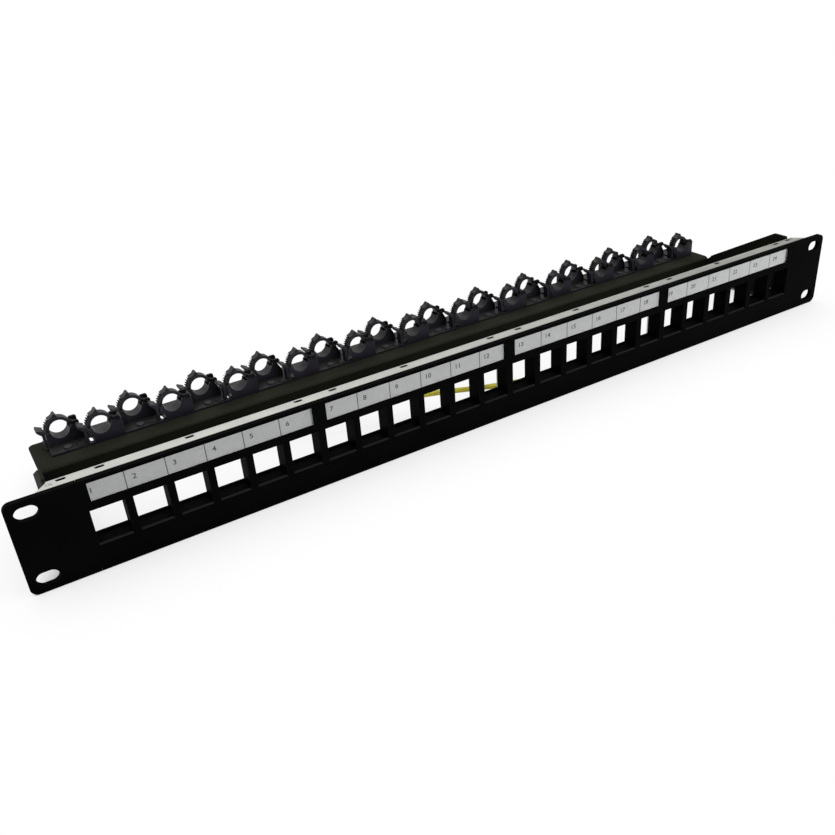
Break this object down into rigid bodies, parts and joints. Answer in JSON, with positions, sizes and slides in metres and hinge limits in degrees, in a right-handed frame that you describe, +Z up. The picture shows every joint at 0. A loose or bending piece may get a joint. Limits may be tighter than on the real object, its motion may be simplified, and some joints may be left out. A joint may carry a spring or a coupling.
{
  "type": "patch panel",
  "caption": "One-unit rack patch panel with empty jack openings, label windows, rack ears and a rear bracket of hinged cable clips that hold each cable in line with its opening.",
  "frame": {"origin": "middle of the four rack slots, on the rear face of the ears that rests on the rack", "axes": "X along the row of openings to the right seen from the front, Y to the back, Z up"},
  "size_m": [0.4826, 0.1001, 0.044],
  "materials": {
    "zinc_steel": "zinc plated, satin",
    "black_moulding": "black, fine satin texture",
    "black_powder_coat": "black powder coat, satin",
    "plated_screw": "zinc plated",
    "clear_cover": "clear, polished",
    "printed_strip": "pale card with plain dark numbers",
    "clip_plastic": "dark grey nylon, satin",
    "rivet_plastic": "grey nylon",
    "lead_sheath": "yellow and green PVC, satin",
    "tinned_lug": "tinned"
  },
  "bodies": {
    "panel": {"frame": "zinc_steel", "ear_left": "black_moulding", "ear_right": "black_moulding", "rear_bracket": "black_powder_coat", "bracket_screws": "plated_screw", "bezel_1": "black_moulding", "bezel_2": "black_moulding", "bezel_3": "black_moulding", "bezel_4": "black_moulding", "label_1": "printed_strip", "label_2": "printed_strip", "label_3": "printed_strip", "label_4": "printed_strip", "label_cover_1": "clear_cover", "label_cover_2": "clear_cover", "label_cover_3": "clear_cover", "label_cover_4": "clear_cover", "clip_strip_1": "clip_plastic", "clip_strip_2": "clip_plastic", "clip_strip_3": "clip_plastic", "clip_strip_4": "clip_plastic", "strip_rivets": "rivet_plastic", "earth_lead": "lead_sheath", "earth_lugs": "tinned_lug", "earth_screws": "plated_screw"},
    "jaw_1": {"clip_jaw_1": "clip_plastic"},
    "jaw_2": {"clip_jaw_2": "clip_plastic"},
    "jaw_3": {"clip_jaw_3": "clip_plastic"},
    "jaw_4": {"clip_jaw_4": "clip_plastic"},
    "jaw_5": {"clip_jaw_5": "clip_plastic"},
    "jaw_6": {"clip_jaw_6": "clip_plastic"},
    "jaw_7": {"clip_jaw_7": "clip_plastic"},
    "jaw_8": {"clip_jaw_8": "clip_plastic"},
    "jaw_9": {"clip_jaw_9": "clip_plastic"},
    "jaw_10": {"clip_jaw_10": "clip_plastic"},
    "jaw_11": {"clip_jaw_11": "clip_plastic"},
    "jaw_12": {"clip_jaw_12": "clip_plastic"},
    "jaw_13": {"clip_jaw_13": "clip_plastic"},
    "jaw_14": {"clip_jaw_14": "clip_plastic"},
    "jaw_15": {"clip_jaw_15": "clip_plastic"},
    "jaw_16": {"clip_jaw_16": "clip_plastic"},
    "jaw_17": {"clip_jaw_17": "clip_plastic"},
    "jaw_18": {"clip_jaw_18": "clip_plastic"},
    "jaw_19": {"clip_jaw_19": "clip_plastic"},
    "jaw_20": {"clip_jaw_20": "clip_plastic"},
    "jaw_21": {"clip_jaw_21": "clip_plastic"},
    "jaw_22": {"clip_jaw_22": "clip_plastic"},
    "jaw_23": {"clip_jaw_23": "clip_plastic"},
    "jaw_24": {"clip_jaw_24": "clip_plastic"}
  },
  "joints": [
    {"name": "clip_1_hinge", "type": "hinge", "parent": "panel", "child": "jaw_1", "pos_m": [-0.1989, 0.0898, 0.0032], "axis": [0, 1, 0], "range_deg": [0, 80]},
    {"name": "clip_2_hinge", "type": "hinge", "parent": "panel", "child": "jaw_2", "pos_m": [-0.18104, 0.0813, 0.0032], "axis": [0, 1, 0], "range_deg": [0, 80]},
    {"name": "clip_3_hinge", "type": "hinge", "parent": "panel", "child": "jaw_3", "pos_m": [-0.16317, 0.0898, 0.0032], "axis": [0, 1, 0], "range_deg": [0, 80]},
    {"name": "clip_4_hinge", "type": "hinge", "parent": "panel", "child": "jaw_4", "pos_m": [-0.1453, 0.0813, 0.0032], "axis": [0, 1, 0], "range_deg": [0, 80]},
    {"name": "clip_5_hinge", "type": "hinge", "parent": "panel", "child": "jaw_5", "pos_m": [-0.12743, 0.0898, 0.0032], "axis": [0, 1, 0], "range_deg": [0, 80]},
    {"name": "clip_6_hinge", "type": "hinge", "parent": "panel", "child": "jaw_6", "pos_m": [-0.10955, 0.0813, 0.0032], "axis": [0, 1, 0], "range_deg": [0, 80]},
    {"name": "clip_7_hinge", "type": "hinge", "parent": "panel", "child": "jaw_7", "pos_m": [-0.09169, 0.0898, 0.0032], "axis": [0, 1, 0], "range_deg": [0, 80]},
    {"name": "clip_8_hinge", "type": "hinge", "parent": "panel", "child": "jaw_8", "pos_m": [-0.07382, 0.0813, 0.0032], "axis": [0, 1, 0], "range_deg": [0, 80]},
    {"name": "clip_9_hinge", "type": "hinge", "parent": "panel", "child": "jaw_9", "pos_m": [-0.05595, 0.0898, 0.0032], "axis": [0, 1, 0], "range_deg": [0, 80]},
    {"name": "clip_10_hinge", "type": "hinge", "parent": "panel", "child": "jaw_10", "pos_m": [-0.03807, 0.0813, 0.0032], "axis": [0, 1, 0], "range_deg": [0, 80]},
    {"name": "clip_11_hinge", "type": "hinge", "parent": "panel", "child": "jaw_11", "pos_m": [-0.02021, 0.0898, 0.0032], "axis": [0, 1, 0], "range_deg": [0, 80]},
    {"name": "clip_12_hinge", "type": "hinge", "parent": "panel", "child": "jaw_12", "pos_m": [-0.00233, 0.0813, 0.0032], "axis": [0, 1, 0], "range_deg": [0, 80]},
    {"name": "clip_13_hinge", "type": "hinge", "parent": "panel", "child": "jaw_13", "pos_m": [0.01554, 0.0898, 0.0032], "axis": [0, 1, 0], "range_deg": [0, 80]},
    {"name": "clip_14_hinge", "type": "hinge", "parent": "panel", "child": "jaw_14", "pos_m": [0.0334, 0.0813, 0.0032], "axis": [0, 1, 0], "range_deg": [0, 80]},
    {"name": "clip_15_hinge", "type": "hinge", "parent": "panel", "child": "jaw_15", "pos_m": [0.05128, 0.0898, 0.0032], "axis": [0, 1, 0], "range_deg": [0, 80]},
    {"name": "clip_16_hinge", "type": "hinge", "parent": "panel", "child": "jaw_16", "pos_m": [0.06914, 0.0813, 0.0032], "axis": [0, 1, 0], "range_deg": [0, 80]},
    {"name": "clip_17_hinge", "type": "hinge", "parent": "panel", "child": "jaw_17", "pos_m": [0.08701, 0.0898, 0.0032], "axis": [0, 1, 0], "range_deg": [0, 80]},
    {"name": "clip_18_hinge", "type": "hinge", "parent": "panel", "child": "jaw_18", "pos_m": [0.10489, 0.0813, 0.0032], "axis": [0, 1, 0], "range_deg": [0, 80]},
    {"name": "clip_19_hinge", "type": "hinge", "parent": "panel", "child": "jaw_19", "pos_m": [0.12276, 0.0898, 0.0032], "axis": [0, 1, 0], "range_deg": [0, 80]},
    {"name": "clip_20_hinge", "type": "hinge", "parent": "panel", "child": "jaw_20", "pos_m": [0.14062, 0.0813, 0.0032], "axis": [0, 1, 0], "range_deg": [0, 80]},
    {"name": "clip_21_hinge", "type": "hinge", "parent": "panel", "child": "jaw_21", "pos_m": [0.15849, 0.0898, 0.0032], "axis": [0, 1, 0], "range_deg": [0, 80]},
    {"name": "clip_22_hinge", "type": "hinge", "parent": "panel", "child": "jaw_22", "pos_m": [0.17636, 0.0813, 0.0032], "axis": [0, 1, 0], "range_deg": [0, 80]},
    {"name": "clip_23_hinge", "type": "hinge", "parent": "panel", "child": "jaw_23", "pos_m": [0.19423, 0.0898, 0.0032], "axis": [0, 1, 0], "range_deg": [0, 80]},
    {"name": "clip_24_hinge", "type": "hinge", "parent": "panel", "child": "jaw_24", "pos_m": [0.2121, 0.0813, 0.0032], "axis": [0, 1, 0], "range_deg": [0, 80]}
  ]
}
